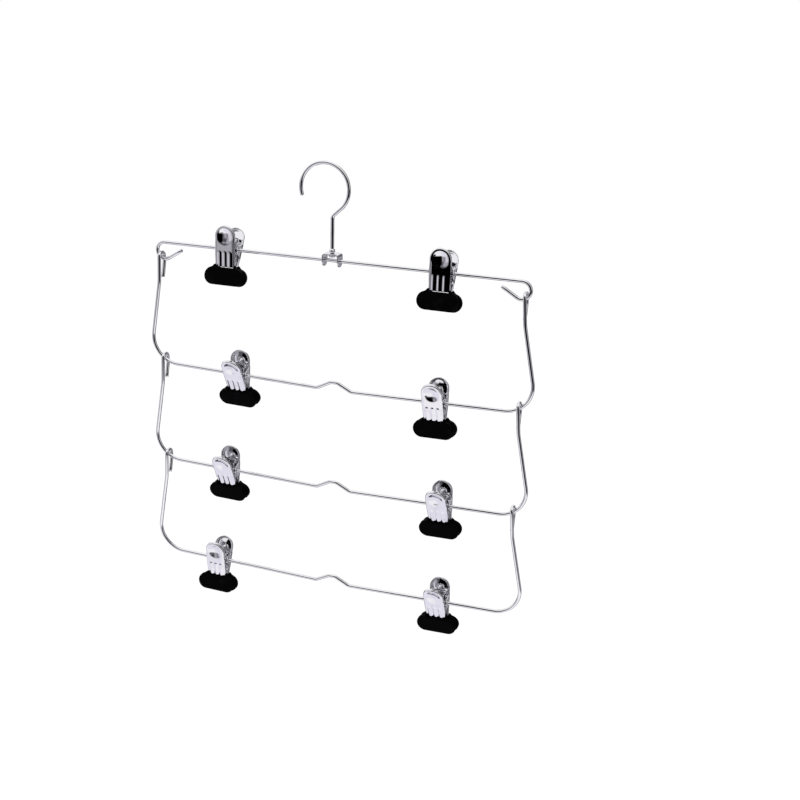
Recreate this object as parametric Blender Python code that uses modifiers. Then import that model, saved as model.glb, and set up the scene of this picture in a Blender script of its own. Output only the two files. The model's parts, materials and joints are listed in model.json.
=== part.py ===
"""Tiered trouser hanger: a hook, a swivel bracket, a rail, three hinged wire tiers, eight clips.

Metres, +Z up. The origin is the point of the hook that rests on the wardrobe rail. The bars run
along X and the front jaws face -Y.
"""

import math

import bmesh
import bpy
from mathutils import Matrix, Vector

# Wire and fits
WIRE_DIAMETER = 0.0030
FIT_GAP = 0.0003
BEND_STEP = 15.0

# Mesh clean-up
WELD_DISTANCE = 1e-6
FLAT_ANGLE = 0.1
SHARP_ANGLE = 35.0

# Hook: a round arc, one bend, then a shank with a collar and a headed end
HOOK_RADIUS = 0.0202
HOOK_OFFSET = 0.0066
HOOK_TIP_ANGLE = 200.0
HOOK_LEAVE_ANGLE = -48.0
HOOK_BEND_RADIUS = 0.0040
HOOK_HEIGHT = 0.0692
COLLAR_DIAMETER = 0.0048
COLLAR_HEIGHT = 0.0036
HEAD_DIAMETER = 0.0052
HEAD_HEIGHT = 0.0020
HEAD_CLEARANCE = 0.0008
# Turned shapes: shares of the height and of the diameter, from the top down
COLLAR_PROFILE = ((0.85, 0.8), (0.60, 1.0), (0.40, 1.0), (0.15, 0.8))
HEAD_PROFILE = ((0.9, 1.0), (0.5, 1.0), (0.0, 0.6))

# Bracket: an inverted U of strip that turns on the shank and carries the rail
BRACKET_WIDTH = 0.0142
BRACKET_DEPTH = 0.0098
BRACKET_SHEET = 0.0012
BRACKET_BEND_RADIUS = 0.0018
BRACKET_SHIFT = 0.0025

# Top rail: straight, with an open curl and a short tail at each end
RAIL_HALF_LENGTH = 0.1523
CURL_RADIUS = 0.0070
CURL_TAIL_ANGLE = 31.5
CURL_TAIL_LENGTH = 0.0144

# Tier frames: loops on the wire above, leaning legs, round corners, a bar with a hump
LOOP_SHIFT = 0.0033
LOOP_PLAY = 0.0002
TAIL_LENGTH = 0.0170
TAIL_STRAIGHT = 0.0045
TAIL_GAP = 0.0008
TAIL_RADIUS = 0.0060
KNEE_DEPTH = 0.0200
KNEE_SHIFT = 0.0015
KNEE_RADIUS = 0.0300
CORNER_BULGE = 0.0144
CORNER_DEPTH = 0.09085
CORNER_RADIUS = 0.0220
BAR_SLOPE = 1.33
HUMP_HEIGHT = 0.0063
HUMP_HALF_WIDTH = 0.0150
HUMP_TOP_HALF_WIDTH = 0.0028
HUMP_RADIUS = 0.0050
TIER_COUNT = 3

# Clip jaws: pressed sheet plates that lean apart towards the top
JAW_SHEET = 0.0008
JAW_HALF_WIDTH = 0.0087
JAW_LEAN = 14.24
JAW_OFFSET = 0.0064
JAW_TOP = 0.0199
JAW_FOOT = 0.0136
RIM_DEPTH = 0.0024
EAR_RADIUS = 0.0034
EAR_ROOT = 0.0070
EAR_STEPS = 6
DISH_RADIUS = 0.0066
DISH_DEPTH = 0.0018
DISH_STEPS = 10
FLUTE_COUNT = 3
FLUTE_SPACING = 0.0040
FLUTE_RADIUS = 0.0012
FLUTE_HEIGHT = 0.0007
FLUTE_TOP = 0.0005
FLUTE_SIDES = 6
TONGUE_HALF_WIDTH = 0.0130
TONGUE_DEPTH = 0.0095

# Clip pads: soft grips pushed over the jaws' tongues
PAD_HALF_WIDTH = 0.0171
PAD_HEIGHT = 0.0148
PAD_END_RADIUS = 0.0072
PAD_EDGE = 0.0005
PAD_OUTER_WALL = 0.0014
PAD_NECK_RISE = 0.0016
PAD_BEND_STEP = 30.0

# Torsion spring round the bar, between the ears
SPRING_WIRE = 0.0013
SPRING_PITCH = 0.0019
SPRING_PLAY = 0.0005
SPRING_WHOLE_TURNS = 2
SPRING_ARM_ANGLE = 22.8
SPRING_POINTS_PER_TURN = 8

# Each clip, named for its bar counted from the top: its place along the bar from the middle, and
# the lean of its top towards the front in degrees
CLIPS = {
    "1l": (-0.0935, -15.5),
    "1r": (0.0893, -15.2),
    "2l": (-0.0880, 14.5),
    "2r": (0.0870, 1.8),
    "3l": (-0.0990, 12.5),
    "3r": (0.0940, 9.3),
    "4l": (-0.1089, -4.0),
    "4r": (0.0952, 9.1),
}

CHROME = ((0.80, 0.81, 0.84), 0.12, 1.0)
STEEL = ((0.62, 0.62, 0.66), 0.22, 1.0)
RUBBER = ((0.010, 0.010, 0.011), 0.55, 0.0)

# Planes for flat outlines: each takes the outline's own X, Y and thickness directions
FACING_Y = Matrix.Rotation(math.pi / 2, 4, "X")
FACING_X = Matrix(((0, 0, 1, 0), (1, 0, 0, 0), (0, 1, 0, 0), (0, 0, 0, 1)))

WIRE_RADIUS = WIRE_DIAMETER / 2
BORE_RADIUS = WIRE_RADIUS + FIT_GAP


# Scene helpers

def clear_scene():
    for obj in list(bpy.data.objects):
        bpy.data.objects.remove(obj, do_unlink=True)


def make_collection(name):
    group = bpy.data.collections.new(name)
    bpy.context.scene.collection.children.link(group)
    return group


def make_material(name, look):
    colour, roughness, metallic = look
    material = bpy.data.materials.new(name)
    material.use_nodes = True
    shader = material.node_tree.nodes["Principled BSDF"]
    shader.inputs["Base Color"].default_value = (*colour, 1.0)
    shader.inputs["Roughness"].default_value = roughness
    shader.inputs["Metallic"].default_value = metallic
    return material


def add(name, data, group, parent=None, place=None):
    """A new object; place is its matrix under its parent."""
    obj = bpy.data.objects.new(name, data)
    group.objects.link(obj)
    obj.parent = parent
    if place:
        obj.matrix_basis = place
    return obj


# Paths

def spread(start, end, step=BEND_STEP):
    """Even angles in radians between two in degrees, no further apart than the step."""
    steps = max(1, math.ceil(abs(end - start) / step))
    return [math.radians(start + (end - start) * i / steps) for i in range(steps + 1)]


def arc(centre, radius, start, end):
    """Points on an arc in the XZ plane; angles in degrees from +X towards +Z."""
    return [centre + radius * Vector((math.cos(a), 0, math.sin(a))) for a in spread(start, end)]


def fillet(before, corner, after, radius):
    """Centre of the arc that rounds a corner, and its first and last arms."""
    back = (before - corner).normalized()
    on = (after - corner).normalized()
    half = back.angle(on) / 2
    centre = corner + (back + on).normalized() * radius / math.sin(half)
    setback = radius / math.tan(half)
    return centre, corner + back * setback - centre, corner + on * setback - centre


def rounded(corners, radii):
    """The path through corners, with an arc of its own radius at each inner one."""
    path = [corners[0]]
    for before, corner, after, radius in zip(corners, corners[1:], corners[2:], radii):
        centre, first, last = fillet(before, corner, after, radius)
        turn = first.angle(last)
        steps = max(1, math.ceil(math.degrees(turn) / BEND_STEP))
        for i in range(steps + 1):
            share = i / steps
            arm = first * math.sin((1 - share) * turn) + last * math.sin(share * turn)
            path.append(centre + arm / math.sin(turn))
    path.append(corners[-1])
    return path


def both_halves(half):
    """A path symmetric about X = 0, from a right half whose first point is left out."""
    mirrored = [Vector((-p.x, p.y, p.z)) for p in reversed(half[1:])]
    return mirrored + half[1:]


# Solids

def wire_curve(name, path, diameter, material, swells=None, resolution=2):
    """A round wire along a path; swells holds each point's share of the diameter."""
    curve = bpy.data.curves.new(name, "CURVE")
    curve.dimensions = "3D"
    curve.bevel_depth = diameter / 2
    curve.bevel_resolution = resolution
    curve.use_fill_caps = True
    spline = curve.splines.new("POLY")
    spline.points.add(len(path) - 1)
    for point, place, swell in zip(spline.points, path, swells or [1.0] * len(path)):
        point.co = (*place, 1.0)
        point.radius = swell
    spline.use_smooth = True
    curve.materials.append(material)
    return curve


def flat_curve(name, outline, thickness, edge=0.0):
    """A slab of a closed outline in its own XY plane, centred on Z, with chamfered edges."""
    curve = bpy.data.curves.new(name, "CURVE")
    curve.dimensions = "2D"
    curve.fill_mode = "BOTH"
    curve.extrude = thickness / 2 - edge
    curve.bevel_depth = edge
    curve.bevel_resolution = 0
    curve.offset = -edge
    spline = curve.splines.new("POLY")
    spline.points.add(len(outline) - 1)
    for point, (x, y) in zip(spline.points, outline):
        point.co = (x, y, 0.0, 1.0)
    spline.use_cyclic_u = True
    return curve


def rod_mesh(name, radius, length, sides=10):
    """A round bar along its own Z, centred on its origin."""
    mesh = bpy.data.meshes.new(name)
    shape = bmesh.new()
    bmesh.ops.create_cone(
        shape, cap_ends=True, segments=sides, radius1=radius, radius2=radius, depth=length
    )
    shape.to_mesh(mesh)
    shape.free()
    return mesh


def closed_mesh(obj):
    """The evaluated shape of an object, welded into one closed mesh."""
    bpy.context.view_layer.update()
    evaluated = obj.evaluated_get(bpy.context.evaluated_depsgraph_get())
    mesh = bpy.data.meshes.new_from_object(evaluated)
    shape = bmesh.new()
    shape.from_mesh(mesh)
    bmesh.ops.remove_doubles(shape, verts=shape.verts, dist=WELD_DISTANCE)
    flat = math.radians(FLAT_ANGLE)
    bmesh.ops.dissolve_limit(shape, angle_limit=flat, verts=shape.verts, edges=shape.edges)
    bmesh.ops.recalc_face_normals(shape, faces=shape.faces)
    shape.to_mesh(mesh)
    shape.free()
    mesh.materials.clear()
    return mesh


def solid(name, curve, group, place):
    """A flat curve as a mesh object, ready for Boolean work."""
    source = add(name + "_curve", curve, group, place=place)
    result = add(name, closed_mesh(source), group, place=place)
    bpy.data.objects.remove(source)
    return result


def turned(name, profile, steps, group, place):
    """A solid of revolution about its own Z, from (radius, height) points, top to bottom."""
    mesh = bpy.data.meshes.new(name)
    edges = [(i, i + 1) for i in range(len(profile) - 1)]
    mesh.from_pydata([(r, 0, z) for r, z in profile], edges, [])
    obj = add(name, mesh, group, place=place)
    screw = obj.modifiers.new("turn", "SCREW")
    screw.steps = steps
    screw.render_steps = steps
    screw.use_merge_vertices = True
    screw.merge_threshold = WELD_DISTANCE
    return obj


def as_guide(obj):
    obj.hide_render = True
    obj.display_type = "WIRE"


def combine(target, tool, operation):
    """Joins a tool to a target, cuts it out, or keeps what they share."""
    as_guide(tool)
    modifier = target.modifiers.new(tool.name, "BOOLEAN")
    modifier.solver = "EXACT"
    modifier.operation = operation
    modifier.object = tool


def finished_mesh(name, obj, material):
    """A worked blank's final mesh, smooth except at real edges; the blank stays as a guide."""
    mesh = closed_mesh(obj)
    as_guide(obj)
    mesh.name = name
    mesh.transform(obj.matrix_world)
    mesh.materials.append(material)
    mesh.shade_smooth()
    mesh.set_sharp_from_angle(angle=math.radians(SHARP_ANGLE))
    return mesh


# Hook

def shank_end():
    return -HOOK_HEIGHT - BRACKET_SHEET - FIT_GAP - HEAD_HEIGHT


def hook_curve(material):
    """The hook's wire; its collar and head are upset from the wire itself."""
    centre = Vector((0, 0, WIRE_RADIUS - HOOK_RADIUS))
    path = arc(centre, HOOK_RADIUS, HOOK_TIP_ANGLE, HOOK_LEAVE_ANGLE)
    leave = math.radians(HOOK_LEAVE_ANGLE)
    last = path[-1]
    run = (HOOK_OFFSET - last.x) / math.sin(leave)
    bend = last + run * Vector((math.sin(leave), 0, -math.cos(leave)))
    collar_low = FIT_GAP - HOOK_HEIGHT
    collar_top = Vector((HOOK_OFFSET, 0, collar_low + COLLAR_HEIGHT))
    path += rounded([last, bend, collar_top], [HOOK_BEND_RADIUS])[1:]
    swells = [1.0] * len(path)
    end = shank_end()
    collar = [(collar_low + up * COLLAR_HEIGHT, wide * COLLAR_DIAMETER) for up, wide in COLLAR_PROFILE]
    neck = [(collar_low, WIRE_DIAMETER), (end + HEAD_HEIGHT, WIRE_DIAMETER)]
    head = [(end + up * HEAD_HEIGHT, wide * HEAD_DIAMETER) for up, wide in HEAD_PROFILE]
    for height, diameter in collar + neck + head:
        path.append(Vector((HOOK_OFFSET, 0, height)))
        swells.append(diameter / WIRE_DIAMETER)
    return wire_curve("hook", path, WIRE_DIAMETER, material, swells)


# Swivel bracket

def bracket_rise():
    """Height of the bracket's top face over the rail's centre line."""
    return BRACKET_SHEET + FIT_GAP + HEAD_HEIGHT + HEAD_CLEARANCE + WIRE_RADIUS


def bracket_mesh(material, tools):
    """Strip bent to an inverted U, its feet rounded, bored for the shank and for the rail."""
    top = bracket_rise() - BRACKET_SHEET / 2
    side = (BRACKET_WIDTH - BRACKET_SHEET) / 2
    foot = -BRACKET_DEPTH
    corners = [Vector((-side, foot, 0)), Vector((-side, top, 0)), Vector((side, top, 0)), Vector((side, foot, 0))]
    path = rounded(corners, [BRACKET_BEND_RADIUS] * 2)
    ribbon = bpy.data.curves.new("bracket_strip", "CURVE")
    ribbon.dimensions = "2D"
    ribbon.extrude = BRACKET_DEPTH / 2
    spline = ribbon.splines.new("POLY")
    spline.points.add(len(path) - 1)
    for point, place in zip(spline.points, path):
        point.co = (*place, 1.0)
    strip = add("bracket_strip", ribbon, tools, place=FACING_Y)
    shell = strip.modifiers.new("sheet", "SOLIDIFY")
    shell.thickness = BRACKET_SHEET
    shell.offset = 0
    blank = add("bracket_blank", closed_mesh(strip), tools, place=FACING_Y)
    bpy.data.objects.remove(strip)

    half = BRACKET_DEPTH / 2
    feet = [(half * math.cos(a), half * math.sin(a)) for a in spread(180, 360)]
    outline = flat_curve("outline", feet + [(half, 2 * top), (-half, 2 * top)], 2 * BRACKET_WIDTH)
    combine(blank, solid("bracket_outline", outline, tools, FACING_X), "INTERSECT")
    shank_bore = rod_mesh("shank_bore", BORE_RADIUS, BRACKET_DEPTH)
    over_rail = Matrix.Translation((0, 0, top))
    combine(blank, add("shank_bore", shank_bore, tools, place=over_rail), "DIFFERENCE")
    rail_bore = rod_mesh("rail_bore", BORE_RADIUS, 2 * BRACKET_WIDTH)
    combine(blank, add("rail_bore", rail_bore, tools, place=FACING_X), "DIFFERENCE")
    return finished_mesh("swivel_bracket", blank, material)


# Top rail

def rail_curve(material):
    """The straight rail with its curls; local Z = 0 is its centre line."""
    centre = Vector((RAIL_HALF_LENGTH, 0, -CURL_RADIUS))
    half = arc(centre, CURL_RADIUS, 90, -90 - CURL_TAIL_ANGLE)
    slant = math.radians(CURL_TAIL_ANGLE)
    half.append(half[-1] + CURL_TAIL_LENGTH * Vector((-math.cos(slant), 0, math.sin(slant))))
    return wire_curve("top_rail", both_halves([half[0]] + half), WIRE_DIAMETER, material)


# Tier frames

def loop_reach():
    return RAIL_HALF_LENGTH + LOOP_SHIFT


def corner_point():
    """Where the leg's and the bar's lines would meet, outside the loops by the corner's bulge."""
    return Vector((loop_reach() + CORNER_BULGE, 0, -CORNER_DEPTH))


def knee_point():
    return Vector((loop_reach() + KNEE_SHIFT, 0, -KNEE_DEPTH))


def bar_height(x):
    """Height of a tier's bar below its hinge, at a distance from the middle."""
    return -CORNER_DEPTH - (corner_point().x - abs(x)) * math.tan(math.radians(BAR_SLOPE))


def corner_shift():
    """How far outside its corner's centre a tier carries the loops of the next."""
    inner = Vector((0, 0, bar_height(0)))
    centre, _, _ = fillet(knee_point(), corner_point(), inner, CORNER_RADIUS)
    return loop_reach() - centre.x, centre.z


def tier_pitch():
    """Distance from a tier's hinge to the hinge of the tier it carries."""
    shift, height = corner_shift()
    return math.sqrt(CORNER_RADIUS**2 - shift**2) - height


def loop_radius():
    """Clears the wire inside the loop, which slants at the corner below."""
    slope = math.asin(corner_shift()[0] / CORNER_RADIUS)
    return (WIRE_DIAMETER + LOOP_PLAY) / math.cos(slope)


def crest_over(radius, shift):
    """Height of a loop's crest over a bend that it hangs on, both at their centre lines."""
    lift = math.sqrt((radius - WIRE_DIAMETER - FIT_GAP) ** 2 - shift**2)
    return math.sqrt(radius**2 - shift**2) - lift


def loop_crest():
    return max(crest_over(CURL_RADIUS, LOOP_SHIFT), crest_over(CORNER_RADIUS, corner_shift()[0]))


def hang_angle():
    """Turn that brings a tier's bar under its hinge, since its legs start in front of it."""
    return math.atan2(loop_radius(), tier_pitch())


def tier_curve(material):
    """One tier's wire, in its own plane in front of its hinge at the origin."""
    front = Vector((0, -loop_radius(), 0))
    back = Vector((0, loop_radius(), 0))
    crest = Vector((loop_reach(), 0, loop_crest()))
    foot = Vector((HUMP_HALF_WIDTH, 0, bar_height(HUMP_HALF_WIDTH)))
    hump = Vector((HUMP_TOP_HALF_WIDTH, 0, foot.z + HUMP_HEIGHT))
    corners = [Vector((0, 0, hump.z)), hump, foot, corner_point(), knee_point(), crest]
    corners = [c + front for c in corners]
    tail = Vector((loop_reach(), 0, -TAIL_STRAIGHT)) + back
    tip = Vector((loop_reach(), WIRE_DIAMETER + TAIL_GAP, -TAIL_LENGTH)) + front
    corners += [crest + back, tail, tip]
    radii = [HUMP_RADIUS, HUMP_RADIUS, CORNER_RADIUS, KNEE_RADIUS]
    radii += [loop_radius(), loop_radius(), TAIL_RADIUS]
    return wire_curve("tier_frame", both_halves(rounded(corners, radii)), WIRE_DIAMETER, material)


# Clips: local X runs along the bar, the front is -Y, and the bar's centre is the origin

LEAN = Matrix.Rotation(-math.radians(JAW_LEAN), 4, "X")
HALF_TURN = Matrix.Rotation(math.pi, 4, "Z")


def plate_outline(inset, foot):
    """The plate's outline across and up: straight sides under a round top."""
    radius = JAW_HALF_WIDTH - inset
    centre = JAW_TOP - JAW_HALF_WIDTH
    top = [(radius * math.cos(a), centre + radius * math.sin(a)) for a in spread(0, 180)]
    return [(-radius, -foot), (radius, -foot)] + top


def plate_slab(name, inset, foot, inner, outer, tools):
    """A slab of the plate's outline between two distances from the bar, leaning as the plate."""
    curve = flat_curve(name, plate_outline(inset, foot), outer - inner)
    middle = Matrix.Translation((0, (inner + outer) / 2, 0))
    return solid(name, curve, tools, LEAN @ middle @ FACING_Y)


def cap_profile(radius, centre, top):
    """Half outline of a ball's lower cap, from a flat top down to its lowest point."""
    start = math.acos((centre - top) / radius)
    angles = [start * (1 - i / 3) for i in range(4)]
    return [(0, top)] + [(radius * math.sin(a), centre - radius * math.cos(a)) for a in angles]


def foot_place():
    """Distance from the clip's middle plane, and depth, of the plate's outer bottom edge."""
    edge = LEAN @ Vector((0, JAW_OFFSET, -JAW_FOOT))
    return edge.y, -edge.z


def pad_top():
    return -foot_place()[1] - FIT_GAP


def pad_thickness():
    return foot_place()[0] + FIT_GAP + PAD_OUTER_WALL - FIT_GAP / 2


def tongue_outline(grow):
    """The T of the jaw's mouth: a neck as wide as the plate, and the wide tongue under it."""
    neck = JAW_HALF_WIDTH - JAW_SHEET + grow
    wide = TONGUE_HALF_WIDTH + grow
    top = pad_top() + 3 * JAW_SHEET / 2
    shoulder = pad_top() - PAD_EDGE - FIT_GAP + grow
    low = pad_top() - TONGUE_DEPTH - grow
    return [
        (-wide, low), (wide, low), (wide, shoulder), (neck, shoulder),
        (neck, top), (-neck, top), (-neck, shoulder), (-wide, shoulder),
    ]


def tongue_slab(name, grow, tools):
    curve = flat_curve(name, tongue_outline(grow), JAW_SHEET + 2 * grow)
    middle = Matrix.Translation((0, foot_place()[0] - JAW_SHEET / 2, 0))
    return solid(name, curve, tools, middle @ FACING_Y)


def ear_outline():
    """An ear seen along the bar: round at the bar, widening to its root on the plate."""
    base = JAW_OFFSET - JAW_SHEET / 2
    tangent = math.atan2(EAR_ROOT, base) + math.acos(EAR_RADIUS / math.hypot(base, EAR_ROOT))
    around = 2 * math.pi - 2 * tangent
    angles = [tangent + around * i / EAR_STEPS for i in range(EAR_STEPS + 1)]
    end = [(EAR_RADIUS * math.cos(a), EAR_RADIUS * math.sin(a)) for a in angles]
    return [(base, EAR_ROOT)] + end + [(base, -EAR_ROOT)]


def jaw_shift():
    """Both ears are flush with the plate's sides, so two jaws nest a sheet and a gap apart."""
    return (JAW_SHEET + FIT_GAP) / 2


def jaw_mesh(material, tools):
    """The rear jaw about its own middle; the front one is the same pressing turned half round."""
    inner = JAW_OFFSET - RIM_DEPTH
    jaw = plate_slab("jaw_blank", 0, JAW_FOOT, inner, JAW_OFFSET, tools)

    for i in range(FLUTE_COUNT):
        across = (i - (FLUTE_COUNT - 1) / 2) * FLUTE_SPACING
        low = FLUTE_RADIUS - JAW_FOOT - FIT_GAP
        profile = [
            (0, FLUTE_TOP),
            (0.5 * FLUTE_RADIUS, FLUTE_TOP),
            (FLUTE_RADIUS, FLUTE_TOP - FLUTE_RADIUS),
            (FLUTE_RADIUS, low),
            (0, low),
        ]
        out = JAW_OFFSET + FLUTE_HEIGHT - FLUTE_RADIUS
        place = LEAN @ Matrix.Translation((across, out, 0))
        combine(jaw, turned(f"flute_{i}", profile, FLUTE_SIDES, tools, place), "UNION")

    under = JAW_OFFSET - JAW_SHEET
    pocket = plate_slab("jaw_pocket", JAW_SHEET, 2 * JAW_FOOT, inner - RIM_DEPTH, under, tools)
    combine(jaw, pocket, "DIFFERENCE")

    ball = (DISH_RADIUS**2 + DISH_DEPTH**2) / (2 * DISH_DEPTH)
    centre = JAW_OFFSET - DISH_DEPTH + ball
    seat = LEAN @ Matrix.Translation((0, 0, JAW_TOP - JAW_HALF_WIDTH)) @ FACING_Y.inverted()
    outside = cap_profile(ball + JAW_SHEET, centre, under + JAW_SHEET / 2)
    combine(jaw, turned("dish_bulge", outside, DISH_STEPS, tools, seat), "UNION")

    flush = JAW_HALF_WIDTH - JAW_SHEET / 2
    for name, across in (("left_ear", -flush), ("right_ear", flush)):
        curve = flat_curve(name, ear_outline(), JAW_SHEET)
        place = LEAN @ Matrix.Translation((across, 0, 0)) @ FACING_X
        combine(jaw, solid(name, curve, tools, place), "UNION")
    combine(jaw, tongue_slab("tongue", 0, tools), "UNION")

    inside = cap_profile(ball, centre, JAW_OFFSET + DISH_DEPTH / 4)
    combine(jaw, turned("dish", inside, DISH_STEPS, tools, seat), "DIFFERENCE")
    bore = rod_mesh("ear_bore", BORE_RADIUS, 3 * JAW_HALF_WIDTH)
    combine(jaw, add("ear_bore", bore, tools, place=FACING_X), "DIFFERENCE")
    return finished_mesh("jaw", jaw, material)


def pad_outline():
    """Across and up: round ends, and a low neck that rises to the plate on each side."""
    top = pad_top()
    low = top - PAD_HEIGHT
    reach = PAD_HALF_WIDTH - PAD_END_RADIUS
    neck = JAW_HALF_WIDTH + FIT_GAP
    points = []
    for centre, start in ((low + PAD_END_RADIUS, -90), (top - PAD_END_RADIUS, 0)):
        for angle in spread(start, start + 90, PAD_BEND_STEP):
            across = reach + PAD_END_RADIUS * math.cos(angle)
            points.append((across, centre + PAD_END_RADIUS * math.sin(angle)))
    points[-1] = (neck + PAD_NECK_RISE, top)
    points += [(neck, top + PAD_NECK_RISE), (neck, top)]
    return points + [(-x, y) for x, y in reversed(points)]


def pad_mesh(material, tools):
    """The rear pad: a slab with broken edges and a T slot for the jaw's tongue."""
    curve = flat_curve("pad_blank", pad_outline(), pad_thickness(), PAD_EDGE)
    middle = Matrix.Translation((0, (pad_thickness() + FIT_GAP) / 2, 0))
    pad = solid("pad_blank", curve, tools, middle @ FACING_Y)
    combine(pad, tongue_slab("tongue_slot", FIT_GAP, tools), "DIFFERENCE")
    return finished_mesh("pad", pad, material)


def spring_path():
    """One unbroken torsion spring: a coil round the bar, and an arm to each plate."""
    radius = WIRE_RADIUS + SPRING_PLAY + SPRING_WIRE / 2
    aim = math.radians(JAW_LEAN + SPRING_ARM_ANGLE)
    end = math.radians(360 * SPRING_WHOLE_TURNS + 90) - aim
    steps = round(SPRING_POINTS_PER_TURN * end / math.pi)
    coil = []
    for i in range(steps + 1):
        turn = end * (2 * i / steps - 1)
        along = SPRING_PITCH * turn / (2 * math.pi)
        coil.append(Vector((along, radius * math.sin(turn), -radius * math.cos(turn))))
    seat = JAW_OFFSET - JAW_SHEET - FIT_GAP - SPRING_WIRE / 2
    slant = math.radians(SPRING_ARM_ANGLE)
    length = (seat - radius * math.cos(slant)) / math.sin(slant)
    rear = coil[-1] + length * Vector((0, math.sin(aim), math.cos(aim)))
    front = HALF_TURN @ rear
    return [front] + coil + [rear]


def print_least_gap(path, diameter):
    """Least clear distance between turns, measured on the points of each turn and the next."""
    skip = SPRING_POINTS_PER_TURN // 2
    distances = [(a - b).length for i, a in enumerate(path) for b in path[i + skip:]]
    print(f"spring's least gap to itself: {1000 * (min(distances) - diameter):.2f} mm")


# Assembly

def place_clip(name, carriers, shared, group):
    """A clip's five pieces under one empty that lies on its bar."""
    along, lean = CLIPS[name]
    bar = int(name[0]) - 1
    tilt = math.radians(lean)
    spot = Vector((along, 0, 0))
    slope = 0
    if bar:
        tilt -= hang_angle()
        spot = Vector((along, -loop_radius(), bar_height(along)))
        slope = math.copysign(math.radians(BAR_SLOPE), -along)
    turn = Matrix.Rotation(slope, 4, "Y") @ Matrix.Rotation(tilt, 4, "X")
    place = Matrix.Translation(spot) @ turn
    clip = add(f"clip_{name}_on_bar", None, group, carriers[bar], place)
    add(f"spring_{name}", shared["spring"], group, clip)
    nest = Matrix.Translation((jaw_shift(), 0, 0))
    for side, facing in (("front", HALF_TURN @ nest), ("rear", nest)):
        jaw = add(f"{side}_jaw_{name}", shared["jaw"], group, clip, facing)
        add(f"{side}_pad_{name}", shared["pad"], group, jaw)


def build():
    clear_scene()
    parts = make_collection("tiered_trouser_hanger")
    tools = make_collection("cutters")
    chrome = make_material("chrome_wire", CHROME)
    steel = make_material("bracket_steel", STEEL)
    pressed = make_material("pressed_jaw", CHROME)
    rubber = make_material("black_rubber", RUBBER)
    sprung = make_material("spring_steel", STEEL)

    add("hook", hook_curve(chrome), parts)
    rail_height = -HOOK_HEIGHT - bracket_rise()
    swivel = add("swivel_axis", None, parts, place=Matrix.Translation((HOOK_OFFSET, 0, rail_height)))
    add("swivel_bracket", bracket_mesh(steel, tools), parts, swivel)
    rail = add("rail_axis", None, parts, swivel, Matrix.Translation((BRACKET_SHIFT, 0, 0)))
    add("top_rail", rail_curve(chrome), parts, rail)

    carriers = [rail]
    frame = tier_curve(chrome)
    drop = CURL_RADIUS + math.sqrt(CURL_RADIUS**2 - LOOP_SHIFT**2)
    hang = Matrix.Rotation(hang_angle(), 4, "X")
    for tier in range(TIER_COUNT):
        below = Matrix.Translation((0, 0, -drop - tier * tier_pitch())) @ hang
        hinge = add(f"tier_{tier + 2}_hinge", None, parts, rail, below)
        add(f"tier_frame_{tier + 2}", frame, parts, hinge)
        carriers.append(hinge)

    spring = spring_path()
    print_least_gap(spring, SPRING_WIRE)
    shared = {
        "jaw": jaw_mesh(pressed, tools),
        "pad": pad_mesh(rubber, tools),
        "spring": wire_curve("spring", spring, SPRING_WIRE, sprung, resolution=1),
    }
    for name in CLIPS:
        place_clip(name, carriers, shared, parts)
    bpy.context.view_layer.update()


build()
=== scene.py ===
# Tiered trouser hanger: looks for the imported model

import json
import math

import bmesh
import bpy
import numpy as np
from mathutils import Matrix, Vector


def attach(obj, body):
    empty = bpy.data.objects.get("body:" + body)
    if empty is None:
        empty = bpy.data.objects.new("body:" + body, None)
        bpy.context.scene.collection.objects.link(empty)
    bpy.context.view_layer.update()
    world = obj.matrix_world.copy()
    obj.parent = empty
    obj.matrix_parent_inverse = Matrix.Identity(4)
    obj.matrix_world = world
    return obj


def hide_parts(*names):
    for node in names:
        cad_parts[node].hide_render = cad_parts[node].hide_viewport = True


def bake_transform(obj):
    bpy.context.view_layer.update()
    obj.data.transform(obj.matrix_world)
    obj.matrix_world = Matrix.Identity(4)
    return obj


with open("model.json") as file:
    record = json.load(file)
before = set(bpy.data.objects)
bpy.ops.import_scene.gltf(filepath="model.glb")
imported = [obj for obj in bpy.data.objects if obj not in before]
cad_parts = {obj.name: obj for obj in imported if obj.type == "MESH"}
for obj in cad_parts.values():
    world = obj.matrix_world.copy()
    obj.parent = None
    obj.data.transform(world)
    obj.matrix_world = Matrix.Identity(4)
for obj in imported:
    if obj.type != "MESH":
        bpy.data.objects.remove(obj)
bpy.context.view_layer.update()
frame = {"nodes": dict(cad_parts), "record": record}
joints = {joint["name"]: joint for joint in frame["record"]["behaviour"]["joints"]}
print("frame loaded:", len(frame["nodes"]), "nodes")


# Shader maths

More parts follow.
